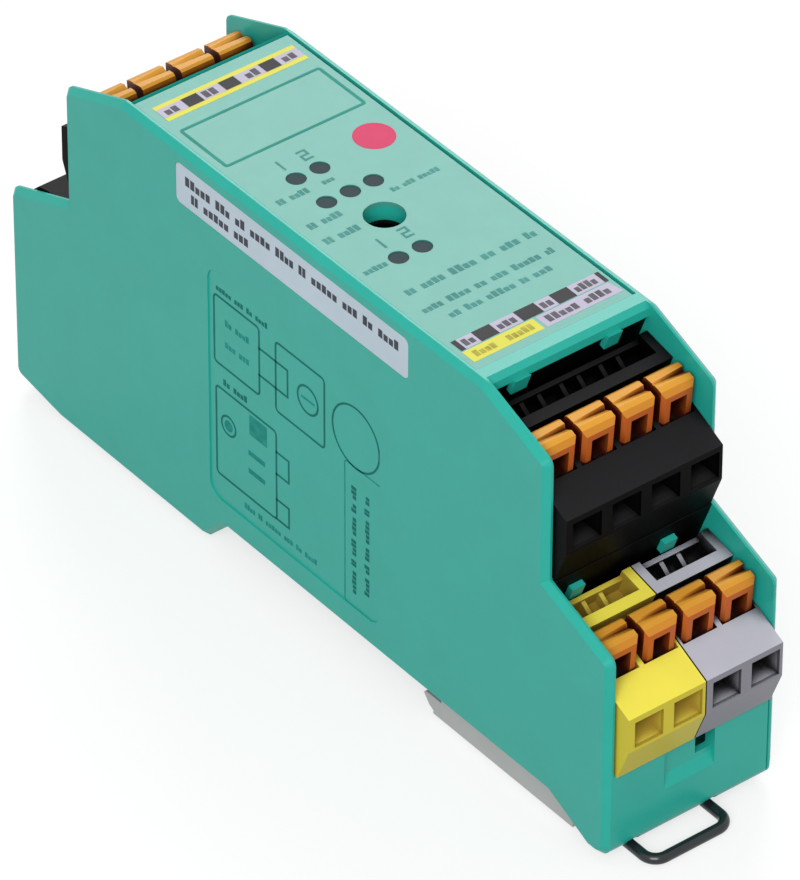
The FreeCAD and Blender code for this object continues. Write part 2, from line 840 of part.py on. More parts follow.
def build_header(bay, split):
    half = full_half - nose_side + clear + header_end
    body = bay.block(-half, half, header_back, header_front, header_low, wall_top_u)
    x_in = half - header_end
    pocket_low = plug_base - nose_len - 0.1
    if split:
        pockets = [(-x_in, -nose_side + clear), (nose_side - clear, x_in)]
    else:
        pockets = [(-x_in, x_in)]
    tools = []
    for x0, x1 in pockets:
        tools.append(bay.block(x0, x1, nose_back - clear, nose_front + clear, pocket_low, 0))
    for x in pole_xs(poles, 0):
        tools.append(bay.block(x - pin_half, x + pin_half, pin_v - pin_half, pin_v + pin_half,
                               header_low - 1, wall_top_u))
    body = cut(body, tools)
    body = body.fuse(back_wall(bay))
    above = box(-half_w, half_w, near_y - wall, far_y + wall, front_bottom, 2 * front_z)
    body = body.cut(above)
    # leave room for the housing's stops
    if bay in (near_upper, far_upper):
        rooms = []
        for x0, x1 in tab_x:
            rooms.append(bay.block(x0 - 0.1, x1 + 0.1, back_v - 1.3, back_v + 1, -3.3,
                                   front_reach(bay) + 1))
    else:
        rooms = hooked_tabs(bay, 0.1)
    return cut(body, rooms).removeSplitter()


def pin_reach(index):
    return pin_first - pin_step * (poles - 1 - index)


def build_pins(bay):
    made = []
    low = pin_level - pin_half
    high = pin_level + pin_half
    for i, x in enumerate(pole_xs(poles, 0)):
        v_end = pin_reach(i)
        x0 = x - pin_half
        x1 = x + pin_half
        parts = [
            bay.block(x0, x1, pin_v - pin_half, pin_v + pin_half, low, plug_base - 1.5),
            bay.block(x0, x1, v_end - pin_half, pin_v + pin_half, low, high),
            bay.block(x0, inner_x - 0.1, v_end - pin_half, v_end + pin_half, low, high),
        ]
        made.append(fuse(parts))
    return Part.makeCompound(made)


def build_blank():
    """Cover in the bay that has no terminals."""
    bay = far_lower
    crown = [(-4.0, 2.0), (-0.6, -1.2), (-0.6, wall_top_u / cos_t + 0.35)]
    base = bay.yz(plug_rear, plug_base)
    outline_yz = [bay.ab(a, b) for a, b in crown]
    outline_yz += [bay.yz(nose_front, plug_base), base, bay.yz(plug_rear, -0.6)]
    body = prism(outline_yz, -full_half, full_half)
    foot = bay.block(-full_half + nose_side, full_half - nose_side, nose_back, nose_front,
                     plug_base - 3.0, plug_base + 0.5)
    return fuse([body, foot, cut(back_wall(bay), hooked_tabs(bay, 0.1))])


# ---- Boards and what they carry -----------------------------------------
def build_main_board():
    slope_z = high_front[1] - 1.4
    slope_up = slope_z + (step_half - high_half) * tan_t
    half = [
        (board_half, 2.4),
        (board_half, low_step[1] - 2.0),
        (step_half, low_step[1] - 2.0),
        (step_half, slope_z),
        (high_half, slope_up),
        (high_half, high_step[1] - 2.0),
        (top_half, high_step[1] - 2.0),
        (top_half, front_board_bottom - 1.2),
    ]
    pts = [(mid_y - y, z) for y, z in half]
    pts += [(mid_y + y, z) for y, z in reversed(half)]
    board = prism(pts, board_x, inner_x)
    tools = []
    for y, z in posts:
        hole = Part.makeCylinder(peg_r + 0.15, board_t + 2, V(board_x - 1, y, z), V(1, 0, 0))
        tools.append(hole)
    for bay in (near_lower, near_upper, far_upper):
        for i in range(poles):
            y, z = bay.yz(pin_reach(i), pin_level)
            hole = Part.makeCylinder(0.78, board_t + 2, V(board_x - 1, y, z), V(1, 0, 0))
            tools.append(hole)
    return cut(board, tools)


def build_front_board():
    reach = top_half - 4.0
    return box(-inner_x + 0.3, board_x - 0.3, mid_y - reach, mid_y + reach,
               front_board_bottom, front_board_top)


def build_board_link():
    reach = 0.35 * top_half
    return box(board_x - 2.5, board_x, mid_y - reach, mid_y + reach,
               front_board_bottom - 2.6, front_board_bottom)


inside = board_x + inner_x       # room beside the main board
relay_low = 9.5
relay_high = 22.0
relay_gap = 1.5


def build_relay(side):
    """Relay case on its plinth, mounted flat against the main board."""
    near = relay_gap
    far = post_low_half - post_r - relay_gap
    y0 = mid_y + min(side * near, side * far)
    y1 = mid_y + max(side * near, side * far)
    case = box(board_x - 0.82 * inside, board_x - 0.8, y0, y1, relay_low, relay_high)
    case = case.makeChamfer(0.5, case.Edges)
    plinth = box(board_x - 1.4, board_x, y0 + 0.7, y1 - 0.7, relay_low + 0.7, relay_high - 0.7)
    return fuse([case, plinth])


def build_chips():
    reach = 0.6 * top_half
    made = [
        box(board_x - 1.4, board_x, mid_y - reach, mid_y - 0.6 * reach, 26.0, 32.5),
        box(board_x - 1.8, board_x, mid_y - 0.6 * reach, mid_y + 0.3 * reach, 2.9, 8.6),
        box(board_x - 2.2, board_x, mid_y + 0.6 * reach, mid_y + 0.95 * reach, 3.2, 8.2),
    ]
    return Part.makeCompound(made)


def build_capacitor():
    y = mid_y + 0.52 * top_half
    body = Part.makeCylinder(4.0, 0.64 * inside, V(board_x - 0.64 * inside, y, 29.4), V(1, 0, 0))
    return body.makeChamfer(0.4, body.Edges[:1])


def build_transformer():
    reach = 0.27 * top_half
    core = box(board_x - 0.61 * inside, board_x, mid_y - reach, mid_y + reach, 26.0, 34.0)
    coil = box(board_x - 0.53 * inside, board_x - 1.5, mid_y - 0.77 * reach,
               mid_y + 0.77 * reach, 24.2, 35.6)
    return fuse([core, coil])


led_h = 1.2
lens_sink = 0.15


def build_leds():
    made = []
    for x, y in leds_at:
        made.append(box(x - 0.8, x + 0.8, y - 0.9, y + 0.9,
                        front_board_top, front_board_top + led_h))
    return Part.makeCompound(made)


def build_lenses():
    made = []
    base = front_board_top + led_h
    for x, y in leds_at:
        stem = Part.makeCylinder(led_r - 0.06, front_z - lens_sink - base, V(x, y, base))
        made.append(stem)
    return Part.makeCompound(made)


def build_socket():
    height = front_z - socket_depth - front_board_top
    outer = Part.makeCylinder(socket_hole - 0.15, height, V(socket_x, socket_y, front_board_top))
    bore = Part.makeCylinder(socket_bore, height, V(socket_x, socket_y, front_board_top + 0.3))
    return outer.cut(bore)


def build_label():
    plate = box(label_left, label_right, label_near, label_far,
                front_z - label_recess, front_z - label_recess + label_t)
    return cut(plate, front_holes())


def build_sticker():
    return rounded_slab(-half_w + 0.02, -half_w + 0.02 + label_skin, sticker_near + 0.03,
                        sticker_far - 0.03, sticker_low + 0.03, sticker_top - 0.03, sticker_r)


# ---- Build everything ---------------------------------------------------
os.makedirs("parts", exist_ok=True)

housing = build_shell()
save("housing_shell", housing.cut(collar_block()))
save("socket_collar", housing.common(collar_block()))
save("side_cover", flank(1))
save("label_plate", build_label())
save("type_label", build_sticker())
save("main_board", build_main_board())
save("front_board", build_front_board())
save("board_link", build_board_link())
save("relay_1", build_relay(-1))
save("relay_2", build_relay(1))
save("chips", build_chips())
save("capacitor", build_capacitor())
save("transformer", build_transformer())
save("leds", build_leds())
save("led_lenses", build_lenses())
save("address_socket", build_socket())
save("header_near_upper", build_header(near_upper, False))
save("header_near_lower", build_header(near_lower, True))
save("header_far_upper", build_header(far_upper, False))
save("near_upper_pins", build_pins(near_upper))
save("near_lower_pins", build_pins(near_lower))
save("far_upper_pins", build_pins(far_upper))
save("far_lower_blank", build_blank())
save("foot_catch", build_catch())
save("release_loop", build_loop())
save("catch_spring", build_catch_spring())

pair = poles // 2
pair_x = pole_pitch * pair / 2
plugs = [
    ("near_upper", near_upper, poles, 0.0),
    ("near_lower_left", near_lower, pair, -pair_x),
    ("near_lower_right", near_lower, pair, pair_x),
    ("far_upper", far_upper, poles, 0.0),
]
for name, bay, count, centre in plugs:
    save(name + "_plug", build_plug(bay, count, centre))
    save(name + "_contacts", build_contacts(bay, count, centre))
    save(name + "_cages", build_cages(bay, count, centre))
    for i, x in enumerate(pole_xs(count, centre)):
        save(name + "_lever_" + str(i + 1), build_lever(bay, x))
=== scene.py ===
import json
import math
import bmesh
import bpy
from mathutils import Matrix, Vector


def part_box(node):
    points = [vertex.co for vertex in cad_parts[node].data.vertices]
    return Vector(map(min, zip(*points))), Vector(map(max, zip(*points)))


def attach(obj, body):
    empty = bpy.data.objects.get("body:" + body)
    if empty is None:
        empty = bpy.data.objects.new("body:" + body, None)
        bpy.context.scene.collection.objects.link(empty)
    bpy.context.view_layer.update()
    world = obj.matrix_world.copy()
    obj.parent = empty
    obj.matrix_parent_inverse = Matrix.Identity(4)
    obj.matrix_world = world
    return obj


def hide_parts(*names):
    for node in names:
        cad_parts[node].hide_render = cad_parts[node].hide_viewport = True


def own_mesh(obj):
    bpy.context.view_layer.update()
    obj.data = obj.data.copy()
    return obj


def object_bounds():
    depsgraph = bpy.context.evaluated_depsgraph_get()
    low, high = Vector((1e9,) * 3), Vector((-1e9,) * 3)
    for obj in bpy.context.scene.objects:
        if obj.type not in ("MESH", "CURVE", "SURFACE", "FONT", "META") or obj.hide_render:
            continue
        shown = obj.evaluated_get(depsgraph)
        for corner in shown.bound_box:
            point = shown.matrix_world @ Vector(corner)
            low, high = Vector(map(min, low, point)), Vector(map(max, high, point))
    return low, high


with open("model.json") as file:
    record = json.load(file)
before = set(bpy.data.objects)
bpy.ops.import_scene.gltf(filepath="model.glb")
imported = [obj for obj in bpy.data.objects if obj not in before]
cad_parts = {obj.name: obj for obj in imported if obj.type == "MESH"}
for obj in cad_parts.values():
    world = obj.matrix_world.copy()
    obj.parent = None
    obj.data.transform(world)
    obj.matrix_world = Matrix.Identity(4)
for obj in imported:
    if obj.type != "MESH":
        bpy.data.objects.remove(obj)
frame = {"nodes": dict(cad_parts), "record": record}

bpy.context.scene.view_settings.view_transform = "Standard"
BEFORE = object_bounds()
NODES = frame["nodes"]
MM = 0.001

# material detail, in metres and shares
CLOUD_SCALE = 220.0       # slow drift of colour
FINE_CLOUD = 900.0        # the same on small print
GRAIN_SCALE = 2600.0      # moulded grain
GRAIN_DEPTH = 0.04 * MM
HOLLOW_SHADE_REACH = 3 * MM     # how far the painted shade in a recess reaches
HOLLOW_SHADE_RANGE = (0.35, 0.8)
NOISE_MIDDLE = (0.3, 0.7)   # where most of a noise factor lies
ROUGH_DRIFT = 0.015
LIT_TOP_RANGE = (0.15, 0.6)   # Z of the normal, from standing faces painted as shaded to faces pointing up painted as lit


# ---- Materials ----------------------------------------------------------
def node(tree, kind, **values):
    """Adds a shader node and sets its plain attributes and its sockets."""
    made = tree.nodes.new(kind)
    for key, value in values.items():
        if hasattr(made, key):
            setattr(made, key, value)
        else:
            made.inputs[key.replace("_", " ")].default_value = value
    return made


def noise(tree, scale, detail=3.0):
    """Noise in the object's own metres; returns its factor socket."""
    coords = node(tree, "ShaderNodeTexCoord")
    made = node(tree, "ShaderNodeTexNoise", Scale=scale, Detail=detail)
    tree.links.new(coords.outputs["Object"], made.inputs["Vector"])
    return made.outputs["Fac"]


def spread(tree, factor, low, high):
    """Maps the middle of a noise factor to low..high."""
    start, end = NOISE_MIDDLE
    made = node(tree, "ShaderNodeMapRange", From_Min=start, From_Max=end, To_Min=low, To_Max=high)
    tree.links.new(factor, made.inputs["Value"])
    return made.outputs["Result"]


def blend(tree, factor, first, second):
    """Mixes two colours, each a socket or a plain colour."""
    made = node(tree, "ShaderNodeMix", data_type="RGBA")
    tree.links.new(factor, made.inputs["Factor"])
    for socket, value in ((made.inputs["A"], first), (made.inputs["B"], second)):
        if hasattr(value, "links"):
            tree.links.new(value, socket)
        else:
            socket.default_value = (*value, 1)
    return made.outputs["Result"]


def hollow_shade_mask(tree, reach, low, high):
    """Painted shade mask from ambient occlusion: 0 in the most enclosed recesses, where the shade
    colour is painted in full, 1 on open faces.
    """
    made = node(tree, "ShaderNodeAmbientOcclusion", samples=8, Distance=reach)
    ramp = node(tree, "ShaderNodeMapRange", From_Min=low, From_Max=high)
    tree.links.new(made.outputs["AO"], ramp.inputs["Value"])
    return ramp.outputs["Result"]


def lit_top_mask(tree, low, high):
    """Painted light mask from the object normal: 0 on standing faces, painted as shaded, 1 on faces
    that point up, painted as lit.
    """
    coords = node(tree, "ShaderNodeTexCoord")
    parts = node(tree, "ShaderNodeSeparateXYZ")
    tree.links.new(coords.outputs["Normal"], parts.inputs["Vector"])
    ramp = node(tree, "ShaderNodeMapRange", From_Min=low, From_Max=high)
    tree.links.new(parts.outputs["Z"], ramp.inputs["Value"])
    return ramp.outputs["Result"]


def material(name, colour, rough=0.5, metal=0.0, spec=0.3, vary=0.03, cloud=CLOUD_SCALE,
             grain=0.15, hollow_shade=None, hollow_shade_reach=HOLLOW_SHADE_REACH, hollow_shade_range=HOLLOW_SHADE_RANGE,
             upright_shade=None):
    """Moulded or metal surface: slow colour drift, roughness drift, fine grain, painted shade in
    recesses from an ambient-occlusion mask when a shade colour is given, and painted shade on
    standing faces, so that tops pointing up look lit, when a colour for those faces is given."""
    mat = bpy.data.materials.new(name)
    mat.use_nodes = True
    tree = mat.node_tree
    bsdf = tree.nodes["Principled BSDF"]
    bsdf.inputs["Metallic"].default_value = metal
    bsdf.inputs["Specular IOR Level"].default_value = spec
    drift = noise(tree, cloud, 4.0)
    darker = tuple(c * (1 - vary) for c in colour)
    lighter = tuple(min(1.0, c * (1 + vary)) for c in colour)
    paint = blend(tree, spread(tree, drift, 0, 1), darker, lighter)
    # painted light and shade: standing faces take a darker colour, faces pointing up keep the lit
    # colour
    if upright_shade:
        paint = blend(tree, lit_top_mask(tree, *LIT_TOP_RANGE), upright_shade, paint)
    # painted shade: recesses take the shade colour, by ambient occlusion
    if hollow_shade:
        paint = blend(tree, hollow_shade_mask(tree, hollow_shade_reach, *hollow_shade_range), hollow_shade, paint)
    tree.links.new(paint, bsdf.inputs["Base Color"])
    gloss = spread(tree, noise(tree, cloud * 6), rough - ROUGH_DRIFT, rough + ROUGH_DRIFT)
    tree.links.new(gloss, bsdf.inputs["Roughness"])
    bump = node(tree, "ShaderNodeBump", Strength=grain, Distance=GRAIN_DEPTH)
    tree.links.new(noise(tree, GRAIN_SCALE, 2.0), bump.inputs["Height"])
    tree.links.new(bump.outputs["Normal"], bsdf.inputs["Normal"])
    return mat


GREEN = material("housing_green", (0.018, 0.39, 0.316), 0.32, grain=0.06)
LABEL = material("label_green", (0.055, 0.32, 0.262), 0.32, grain=0.08)
PAPER = material("label_paper", (0.52, 0.62, 0.70), 0.45, spec=0.2, grain=0.05)
BOARD = material("board_green", (0.02, 0.14, 0.06), 0.35)
# black plastic with painted shade: near-black in recesses, and darker on standing faces than on its
# lit tops
BLACK = material("black_plastic", (0.017, 0.0165, 0.018), 0.5, spec=0.045, grain=0.08,
                 hollow_shade=(0.0004, 0.0004, 0.0004), upright_shade=(0.0012, 0.0011, 0.0011))
# grey plastic with painted shade: near-black in recesses such as the mouths, and half as bright on
# standing faces as on its lit tops
GREY = material("grey_plastic", (0.48, 0.48, 0.545), 0.40, spec=0.2, hollow_shade=(0.003, 0.003, 0.0035),
                hollow_shade_reach=4.5 * MM, hollow_shade_range=(0.42, 0.68), upright_shade=(0.24, 0.235, 0.27))
# yellow plastic with painted shade: brown-olive in recesses such as the mouths and pocket, and
# darker yellow on standing faces than on its lit tops
YELLOW = material("yellow_plastic", (0.88, 0.77, 0.085), 0.38, spec=0.2, hollow_shade=(0.36, 0.24, 0.03),
                  hollow_shade_reach=4.5 * MM, hollow_shade_range=(0.45, 0.75), upright_shade=(0.62, 0.52, 0.035))
# orange levers with painted shade: deep red-brown in recesses, and deeper orange-red on standing
# faces, so that their tops look lit
ORANGE = material("lever_orange", (0.68, 0.31, 0.03), 0.36, spec=0.2, hollow_shade=(0.035, 0.003, 0.001),
                  hollow_shade_range=(0.45, 0.8), upright_shade=(0.50, 0.11, 0.016))
RELAY = material("relay_case", (0.65, 0.66, 0.68), 0.4)
SLEEVE = material("capacitor_sleeve", (0.04, 0.05, 0.09), 0.25)
LED = material("led_body", (0.8, 0.8, 0.75), 0.3)
LENS = material("smoked_lens", (0.028, 0.05, 0.058), 0.45, spec=0.05, grain=0.02)
TIN = material("tinned_metal", (0.75, 0.75, 0.72), 0.3, 1.0)
CONTACT = material("contact_metal", (0.70, 0.62, 0.45), 0.3, 1.0)
SPRING = material("spring_steel", (0.60, 0.60, 0.60), 0.25, 1.0)
CATCH = material("catch_steel", (0.42, 0.44, 0.43), 0.42, 0.3, grain=0.1)
LOOP = material("loop_steel", (0.010, 0.014, 0.016), 0.22, spec=0.5)

BY_SLOT = {
    "housing_green": GREEN, "label_green": LABEL, "label_paper": PAPER,
    "board_green": BOARD, "black_plastic": BLACK, "grey_plastic": GREY,
    "yellow_plastic": YELLOW, "lever_orange": ORANGE, "relay_case": RELAY,
    "capacitor_sleeve": SLEEVE, "led_body": LED, "smoked_lens": LENS,
    "tinned_metal": TIN, "contact_metal": CONTACT, "spring_steel": SPRING,
    "catch_steel": CATCH, "loop_steel": LOOP,
}
for part in frame["record"]["subparts"]:
    shown = NODES[part["node"]]
    shown.data.materials.clear()
    shown.data.materials.append(BY_SLOT[part["material_slot"]])

INK = material("print_teal", (0.020, 0.17, 0.145), 0.6, spec=0.04, vary=0.12, grain=0.03)
INK_PALE = material("print_pale_teal", (0.075, 0.27, 0.245), 0.6, spec=0.08, vary=0.12, grain=0.03)
INK_FRAME = material("print_frame_teal", (0.035, 0.27, 0.215), 0.6, spec=0.08, vary=0.08, grain=0.03)
INK_FAINT = material("print_faint_teal", (0.022, 0.26, 0.215), 0.6, spec=0.08, vary=0.2,
                     cloud=FINE_CLOUD)
INK_BLACK = material("print_black", (0.035, 0.033, 0.036), 0.5, spec=0.1, vary=0.2)
INK_SLATE = material("print_slate", (0.055, 0.06, 0.075), 0.5, spec=0.1, vary=0.2)
INK_SMUDGE = material("print_smudge", (0.10, 0.095, 0.11), 0.5, spec=0.1, vary=0.25,
                      cloud=FINE_CLOUD)
INK_OLIVE = material("print_olive", (0.38, 0.34, 0.05), 0.5, spec=0.1, vary=0.25,
                     cloud=FINE_CLOUD)
INK_YELLOW = material("print_yellow", (0.66, 0.63, 0.06), 0.45, spec=0.15)
INK_LILAC = material("print_lilac", (0.46, 0.43, 0.55), 0.45, spec=0.15)
INK_RED = material("print_red", (0.58, 0.018, 0.10), 0.45, spec=0.15)

# ---- Print --------------------------------------------------------------
SKIN = 0.02               # thickness of one printed layer, mm
CLEAR = 0.002             # between a layer and what is under it, mm
LINE = 0.27               # printed line, mm
PANEL_SUNK = 0.15         # printed panel on the left flank, below the flank's face, mm
plate_low, plate_high = (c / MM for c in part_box("label_plate"))
sticker_low, sticker_high = (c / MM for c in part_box("type_label"))
lens_low, lens_high = (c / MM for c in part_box("led_lenses"))
flank_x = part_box("housing_shell")[0].x / MM


def front(x, y, rise):
    """Point on the front face, mm."""
    return Vector((x, y, plate_high.z + rise)) * MM


def side(y, z, rise):
    """Point on the panel of the left flank, mm; print faces -X."""
    return Vector((flank_x + PANEL_SUNK - rise, y, z)) * MM


def paper(y, z, rise):
    """Point on the sticker of the left flank, mm."""
    return Vector((sticker_low.x - rise, y, z)) * MM


def finished(mesh, name, mat):
    """Turns a bmesh into an object of the scene."""
    bmesh.ops.recalc_face_normals(mesh, faces=mesh.faces)
    data = bpy.data.meshes.new(name)
    mesh.to_mesh(data)
    mesh.free()
    piece = bpy.data.objects.new(name, data)
    bpy.context.scene.collection.objects.link(piece)
    data.materials.append(mat)
    return piece


def printed(name, mat, surface, shapes, layer=1):
    """Thin closed slabs on a surface, one for each outline in shapes; an outline is a ring
    of points, or an outer and an inner ring."""
    mesh = bmesh.new()
    low = (layer - 1) * SKIN + CLEAR
    high = layer * SKIN
    for outline in shapes:
        rings = outline if isinstance(outline[0][0], tuple) else (outline,)
        made = [
            [[mesh.verts.new(surface(u, v, rise)) for u, v in ring] for rise in (low, high)]
            for ring in rings
        ]
        count = len(rings[0])
        for i in range(count):
            j = (i + 1) % count
            for base, top in made:
                mesh.faces.new((base[i], base[j], top[j], top[i]))
            if len(made) == 2:
                for level in (0, 1):
                    a, b = made[0][level], made[1][level]
                    mesh.faces.new((a[i], a[j], b[j], b[i]))
        if len(made) == 1:
            for ring in made[0]:
                mesh.faces.new(ring)
    piece = finished(mesh, name, mat)
    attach(piece, "housing")
    return piece


def bar(u0, u1, v0, v1):
    """Upright rectangle."""
    return [(u0, v0), (u1, v0), (u1, v1), (u0, v1)]


def bars(rows):
    return [bar(*row) for row in rows]


def disc(u, v, r, count=48):
    turn = 2 * math.pi / count
    return [(u + r * math.cos(i * turn), v + r * math.sin(i * turn)) for i in range(count)]


def ring(u, v, r, line=LINE):
    """Circle, as a closed line."""
    return (tuple(disc(u, v, r + line / 2)), tuple(disc(u, v, r - line / 2)))


def rounded(u0, u1, v0, v1, r, steps=5):
    """Rectangle with rounded corners."""
    points = []
    for cu, cv, start in ((u1 - r, v1 - r, 0), (u0 + r, v1 - r, 1), (u0 + r, v0 + r, 2),
                          (u1 - r, v0 + r, 3)):
        for i in range(steps + 1):
            angle = math.pi / 2 * (start + i / steps)
            points.append((cu + r * math.cos(angle), cv + r * math.sin(angle)))
    return points


def box_line(u0, u1, v0, v1, r=0.5, line=LINE):
    """Outline of a rounded rectangle, as a closed line."""
    k = line / 2
    inner_r = max(r - k, 0.05)
    return (tuple(rounded(u0 - k, u1 + k, v0 - k, v1 + k, r + k)),
            tuple(rounded(u0 + k, u1 - k, v0 + k, v1 - k, inner_r)))


def stroke(points, line=LINE):
    """Square-ended line through the points, one bar for each run; no bar overlaps the last."""
    k = line / 2
    made = []
    lead = -k
    for (u0, v0), (u1, v1) in zip(points, points[1:]):
        along_u = abs(u1 - u0) > abs(v1 - v0)
        a, b = (u0, u1) if along_u else (v0, v1)
        way = 1 if b > a else -1
        low, high = sorted((a + way * lead, b + way * k))
        if along_u:
            made.append(bar(low, high, v0 - k, v0 + k))
        else:
            made.append(bar(u0 - k, u0 + k, low, high))
        lead = k
    return made


# rows of blocks, in letter heights
WORDS = (3.0, 1.5, 2.2, 3.8, 1.1, 2.7)
GAP = 0.7                 # between words
PITCH = 0.72              # from one block to the next
TALL = (1.0, 0.72, 0.86, 0.7, 1.0, 0.78, 0.7)
FILL = 0.78               # share of the pitch that a block fills


def blocks(u0, u1, v, height, first=0):
    """Plain standing blocks of letter size, side by side."""
    made = []
    count = max(1, round((u1 - u0) / (PITCH * height)))
    step = (u1 - u0) / count
    for i in range(count):
        u = u0 + i * step
        tall = TALL[(i * 3 + first) % len(TALL)]
        made.append(bar(u, u + FILL * step, v, v + tall * height))
    return made


def rule_line(u0, u1, v, height, first=0):
    """Words of plain blocks, in place of small print."""
    made = []
    u = u0
    i = first
    while u < u1 - height:
        end = min(u + WORDS[i % len(WORDS)] * height, u1)
        made += blocks(u, end, v, height, i)
        u = end + GAP * height
        i += 1
    return made


def column_line(u, v0, v1, width, first=0):
    """The same, running up the flank."""
    return [[(v, w) for w, v in outline] for outline in rule_line(v0, v1, u, width, first)]


# markers at the far end of the front face
far = plate_high.y
left, right_end = -9.2, 9.1
strip = (far - 3.95, far - 2.35)
cell_w = 2.0
marks_w = 1.8
printed("far_marker_yellow", INK_YELLOW, front, [bar(left, right_end, far - 4.6, far - 1.7)])
printed("far_marker_white", INK_LILAC, front, [bar(left, right_end, *strip)], 2)
cells = [bar(x, x + cell_w, *strip) for x in (-6.0, -1.15, 4.1)]
printed("far_marker_cells", INK_BLACK, front, cells, 3)
marks = []
for x in (-8.6, -3.6, 1.9, 6.7):
    marks += blocks(x, x + marks_w, far - 3.75, 1.15, int(x))
printed("far_marker_smudges", INK_SMUDGE, front, marks, 3)
printed("far_frame", INK_FRAME, front, [box_line(-9.2, 8.8, far - 14.5, far - 6.7, 0.25, 0.38)])

# markers at the near end of the front face
near = plate_low.y
row_1 = (near + 1.1, near + 3.1)
row_2 = (near + 3.3, near + 5.1)
slanted = [(-0.2, row_1[0]), (9.6, row_1[0]), (9.2, row_1[1]), (-0.2, row_1[1])]
printed("near_marker_white", INK_LILAC, front, [bar(-9.5, 9.5, *row_2), slanted])
printed("near_marker_yellow", INK_YELLOW, front, [bar(-9.6, -0.6, *row_1)])
ends = ((-9.5, -8.9), (-6.9, -4.6), (-1.5, 1.1), (3.1, 5.4), (9.0, 9.5))
printed("near_marker_cells", INK_BLACK, front, [bar(x0, x1, *row_2) for x0, x1 in ends], 2)
marks = []
for x0, x1, base in (
    (-8.6, -7.1, 3.65), (-4.2, -1.8, 3.65), (1.4, 2.9, 3.65), (5.8, 8.6, 3.65),
    (0.5, 4.6, 1.6), (5.4, 8.7, 1.6),
):
    marks += blocks(x0, x1, near + base, 1.1, int(x1))
printed("near_marker_smudges", INK_SMUDGE, front, marks, 2)
marks = blocks(-8.8, -6.0, near + 1.65, 1.0) + blocks(-4.6, -1.2, near + 1.65, 1.0, 2)
printed("near_marker_marks", INK_OLIVE, front, marks, 2)

# small print as rows of blocks: start, end, Y and height of each row
text = []
for x0, x1, y, high in (
    (-9.0, -4.1, 10.4, 0.9), (-3.2, -1.2, 10.5, 0.7), (-9.0, -4.3, 5.2, 0.95),
    (1.6, 8.6, 5.2, 0.7), (-9.2, -4.6, 2.2, 1.0), (-9.3, -6.3, -4.3, 0.9),
    (-8.0, 8.8, -9.6, 1.1), (-8.5, 8.8, -12.9, 0.95), (-6.8, 6.4, -15.1, 0.95),
):
    text += rule_line(x0, x1, y, high, int(x1 - x0))
printed("front_small_print", INK_PALE, front, text)

# figures 1 and 2 over the indicators
FIGURE_W = 0.9
FIGURE_H = 1.5
COLUMN_PITCH = 3.1
one_x = lens_low.x + 1.1
two_x0 = one_x + COLUMN_PITCH - FIGURE_W / 2
two_x1 = two_x0 + FIGURE_W
figures = []
for base in (lens_high.y + 0.9, lens_low.y + 3.2):
    top = base + FIGURE_H
    middle = base + FIGURE_H / 2
    figures += stroke([(one_x, base), (one_x, top)])
    figures += stroke([(two_x0, top), (two_x1, top), (two_x1, middle), (two_x0, middle),
                       (two_x0, base), (two_x1, base)])
printed("indicator_figures", INK_PALE, front, figures)

# plain colour field
printed("red_field", INK_RED, front, [disc(6.0, 14.0, 2.3)])

# connection diagram on the left flank, as Y and Z
dia = [
    box_line(0.4, 8.6, 21.4, 30.4),
    box_line(11.4, 19.1, 21.6, 30.4),
    box_line(8.6, 18.9, 6.9, 18.5),
    ring(3.2, 26.0, 1.7),
    ring(16.8, 14.2, 1.2),
    ring(-4.86, 26.0, 3.9, 0.25),
]
dia += stroke([(11.4, 27.8), (6.6, 27.8), (6.6, 24.3), (11.4, 24.3)])
for low, high in ((13.0, 15.9), (7.0, 9.6)):
    dia += stroke([(8.6, low), (6.5, low), (6.5, high), (8.6, high)])
dia += rule_line(10.0, 18.8, 31.1, 0.7)
dia += rule_line(13.6, 18.8, 19.2, 0.8)
dia += column_line(-7.1, 6.4, 19.6, 0.8)
dia += column_line(-4.9, 5.4, 19.8, 0.8, 3)
printed("flank_diagram", INK, side, dia)

# paler marks of the diagram
faint = [box_line(-9.4, -3.0, 3.6, 22.2, 0.4, 0.15), tuple(disc(16.8, 14.2, 0.7))]
faint += rule_line(1.8, 14.5, 5.0, 0.7)
faint += rule_line(13.2, 17.4, 27.2, 0.8) + rule_line(13.2, 17.4, 24.4, 0.8, 2)
faint += bars(((10.2, 13.2, 15.4, 18.0), (10.6, 13.4, 12.6, 13.2), (10.6, 13.4, 10.2, 10.8)))
faint += stroke([(2.2, 26.0), (4.2, 26.0)])
printed("flank_faint_marks", INK_FAINT, side, faint)

# sticker print: a long row over a short one
LETTER = 1.15
row_end = sticker_high.y - 0.6
lines = rule_line(sticker_low.y + 1.6, row_end, sticker_low.z + 2.75, LETTER)
lines += rule_line(row_end - 11.6, row_end, sticker_low.z + 0.95, LETTER, 2)
printed("sticker_small_print", INK_SLATE, paper, lines)

# ---- Catch spring: a coil of round wire in place of the catch spring part ---
WIRE = 0.2 * MM           # wire radius
TURNS = 6
SPRING_STEPS = 144
SPRING_SIDES = 10


